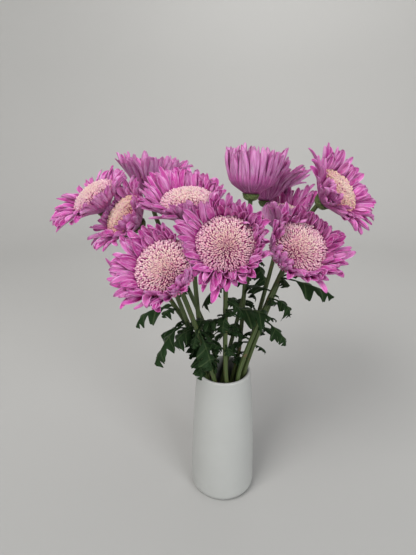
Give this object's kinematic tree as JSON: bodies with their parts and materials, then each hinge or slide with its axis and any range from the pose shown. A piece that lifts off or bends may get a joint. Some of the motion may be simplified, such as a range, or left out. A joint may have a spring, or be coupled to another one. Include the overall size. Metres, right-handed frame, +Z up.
{
  "type": "chrysanthemums in a jar",
  "caption": "Cut pincushion chrysanthemums with pink ray petals, domed cushions and lobed leaves, standing in a tapered white jar",
  "frame": {"origin": "centre of the jar's flat foot", "axes": "+Z up along the jar's axis, -Y towards the front of the bunch, +X to the right seen from the front"},
  "size_m": [0.3359, 0.2523, 0.4053],
  "materials": {
    "jar_glaze": "matte white glaze",
    "stem": "fresh ridged stem",
    "leaf": "matte leaf",
    "calyx": "matte green bracts",
    "ray": "soft satin petal",
    "cushion_cream": "matte florets, cream tips over pink",
    "cushion_peach": "matte florets, peach tips over pink"
  },
  "bodies": {
    "root": {"jar": "jar_glaze", "flower_01_stem": "stem", "flower_01_calyx": "calyx", "flower_01_rays": "ray", "flower_01_cushion": "cushion_cream", "flower_02_stem": "stem", "flower_02_calyx": "calyx", "flower_02_rays": "ray", "flower_02_cushion": "cushion_peach", "flower_03_stem": "stem", "flower_03_calyx": "calyx", "flower_03_rays": "ray", "flower_03_cushion": "cushion_cream", "flower_04_stem": "stem", "flower_04_calyx": "calyx", "flower_04_rays": "ray", "flower_04_cushion": "cushion_cream", "flower_05_stem": "stem", "flower_05_calyx": "calyx", "flower_05_rays": "ray", "flower_05_cushion": "cushion_cream", "flower_06_stem": "stem", "flower_06_calyx": "calyx", "flower_06_rays": "ray", "flower_06_cushion": "cushion_cream", "flower_07_stem": "stem", "flower_07_calyx": "calyx", "flower_07_rays": "ray", "flower_07_cushion": "cushion_cream", "flower_08_stem": "stem", "flower_08_calyx": "calyx", "flower_08_rays": "ray", "flower_08_cushion": "cushion_cream", "flower_09_stem": "stem", "flower_09_calyx": "calyx", "flower_09_rays": "ray", "flower_09_cushion": "cushion_peach", "flower_10_stem": "stem", "flower_10_calyx": "calyx", "flower_10_rays": "ray", "flower_10_cushion": "cushion_cream", "flower_11_stem": "stem", "flower_11_calyx": "calyx", "flower_11_rays": "ray", "flower_11_cushion": "cushion_cream", "leaf_01": "leaf", "leaf_02": "leaf", "leaf_03": "leaf", "leaf_04": "leaf", "leaf_05": "leaf", "leaf_06": "leaf", "leaf_07": "leaf", "leaf_08": "leaf", "leaf_09": "leaf", "leaf_10": "leaf", "leaf_11": "leaf", "leaf_12": "leaf", "leaf_13": "leaf", "leaf_14": "leaf", "leaf_15": "leaf"}
  },
  "joints": []
}
